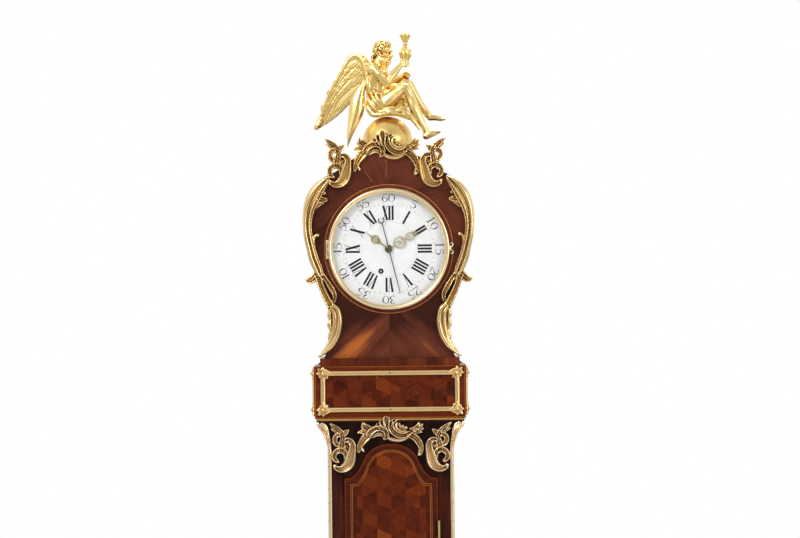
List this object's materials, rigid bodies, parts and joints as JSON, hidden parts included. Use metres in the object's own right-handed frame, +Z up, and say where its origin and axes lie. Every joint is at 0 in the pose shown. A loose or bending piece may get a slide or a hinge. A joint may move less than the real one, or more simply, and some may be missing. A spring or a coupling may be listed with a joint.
{
  "type": "longcase regulator clock",
  "caption": "Free-standing rococo regulator clock: waisted veneered case with gilt bronze mounts, hinged glazed bezel and trunk door, seated winged figure, weight-driven train and pendulum.",
  "frame": {"origin": "middle of the base's underside, on the floor", "axes": "+X to the viewer's right, -Y the clock's front, +Z up"},
  "size_m": [0.46, 0.27, 2.25],
  "materials": {
    "case_wood": "polished veneer",
    "carcass_wood": "plain",
    "gilt_bronze": "gilt",
    "brass": "polished",
    "steel": "blued",
    "enamel": "fired enamel",
    "glass": "clear",
    "gut": "twisted gut"
  },
  "bodies": {
    "case": {"back_plate": "brass", "backboard": "carcass_wood", "base_board": "case_wood", "bezel_hinge": "gilt_bronze", "collar_box": "case_wood", "collar_frame_front": "brass", "collar_frame_left": "brass", "collar_frame_right": "brass", "collar_strip": "brass", "dial_plate": "enamel", "door_hinge_lower_case": "brass", "door_hinge_upper_case": "brass", "figure": "gilt_bronze", "front_plate": "brass", "globe": "gilt_bronze", "gut_line": "gut", "hood_base": "carcass_wood", "hood_crest_mount": "gilt_bronze", "hood_front": "case_wood", "hood_shoulder_mount_left": "gilt_bronze", "hood_shoulder_mount_right": "gilt_bronze", "hood_side_mount_left": "gilt_bronze", "hood_side_mount_right": "gilt_bronze", "hood_wall": "case_wood", "hourglass": "gilt_bronze", "plinth_cove": "case_wood", "plinth_front": "case_wood", "plinth_side_left": "case_wood", "plinth_side_right": "case_wood", "suspension_cock": "brass", "trunk_corner_moulding_left": "brass", "trunk_corner_moulding_right": "brass", "trunk_crest_mount": "gilt_bronze", "trunk_front": "case_wood", "trunk_scroll_mount_left": "gilt_bronze", "trunk_scroll_mount_right": "gilt_bronze", "trunk_side_left": "case_wood", "trunk_side_right": "case_wood", "wing_far": "gilt_bronze", "wing_near": "gilt_bronze"},
    "bezel": {"bezel_ring": "gilt_bronze", "bezel_glass": "glass"},
    "door": {"trunk_door": "case_wood", "door_hinge_upper_door": "brass", "door_hinge_lower_door": "brass"},
    "centre": {"centre_wheel": "brass", "minute_hand": "gilt_bronze"},
    "third": {"third_wheel": "brass"},
    "escape": {"escape_wheel": "brass", "seconds_hand": "steel"},
    "great": {"great_wheel": "brass"},
    "minute": {"minute_wheel": "brass"},
    "hour": {"hour_wheel": "brass", "hour_hand": "gilt_bronze"},
    "pallets": {"pallet_anchor": "steel"},
    "pendulum": {"pendulum_rod": "steel", "pendulum_bob": "brass"},
    "weight": {"weight": "brass"},
    "pulley": {"weight_pulley": "brass"},
    "barrel": {"barrel": "brass"}
  },
  "joints": [
    {"name": "bezel_hinge_turn", "type": "hinge", "parent": "case", "child": "bezel", "pos_m": [-0.1395, -0.069, 1.762], "axis": [0, 0, -1], "range_deg": [0, 115]},
    {"name": "door_hinge_turn", "type": "hinge", "parent": "case", "child": "door", "pos_m": [0.1066, -0.0702, 1], "axis": [0, 0, 1], "range_deg": [0, 110]},
    {"name": "centre_spin", "type": "hinge", "parent": "case", "child": "centre", "pos_m": [0, -0.062, 1.762], "axis": [0, 1, 0], "continuous": true},
    {"name": "third_spin", "type": "hinge", "parent": "case", "child": "third", "pos_m": [0.034, -0.062, 1.762], "axis": [0, 1, 0], "continuous": true},
    {"name": "escape_spin", "type": "hinge", "parent": "case", "child": "escape", "pos_m": [0, -0.062, 1.762], "axis": [0, 1, 0], "continuous": true},
    {"name": "great_spin", "type": "hinge", "parent": "case", "child": "great", "pos_m": [-0.018, -0.062, 1.712], "axis": [0, 1, 0], "continuous": true},
    {"name": "minute_spin", "type": "hinge", "parent": "case", "child": "minute", "pos_m": [0.01414, -0.062, 1.74786], "axis": [0, 1, 0], "continuous": true},
    {"name": "hour_spin", "type": "hinge", "parent": "case", "child": "hour", "pos_m": [0, -0.062, 1.762], "axis": [0, 1, 0], "continuous": true},
    {"name": "pendulum_swing", "type": "hinge", "parent": "case", "child": "pendulum", "pos_m": [0, 0.05, 1.796], "axis": [0, 1, 0], "range_deg": [-2, 2]},
    {"name": "pallet_rock", "type": "hinge", "parent": "case", "child": "pallets", "pos_m": [0, -0.062, 1.796], "axis": [0, 1, 0], "range_deg": [-2, 2]},
    {"name": "weight_slide", "type": "slide", "parent": "case", "child": "weight", "axis": [0, 0, 1], "range_m": [0, 0.7], "deforming": ["gut_line"]},
    {"name": "pulley_spin", "type": "hinge", "parent": "weight", "child": "pulley", "pos_m": [-0.018, -0.007, 0.79], "axis": [0, 1, 0], "continuous": true},
    {"name": "barrel_spin", "type": "hinge", "parent": "case", "child": "barrel", "pos_m": [-0.018, -0.062, 1.712], "axis": [0, 1, 0], "continuous": true}
  ],
  "couplings": [
    {"joint": "third_spin", "follows": "centre_spin", "ratio": -8},
    {"joint": "escape_spin", "follows": "centre_spin", "ratio": 60},
    {"joint": "great_spin", "follows": "centre_spin", "ratio": -0.125},
    {"joint": "minute_spin", "follows": "centre_spin", "ratio": -0.33333},
    {"joint": "hour_spin", "follows": "centre_spin", "ratio": 0.083333},
    {"joint": "pallet_rock", "follows": "pendulum_swing", "ratio": 1},
    {"joint": "pulley_spin", "follows": "weight_slide", "rad_per_m": 50},
    {"joint": "barrel_spin", "follows": "weight_slide", "rad_per_m": 100}
  ]
}
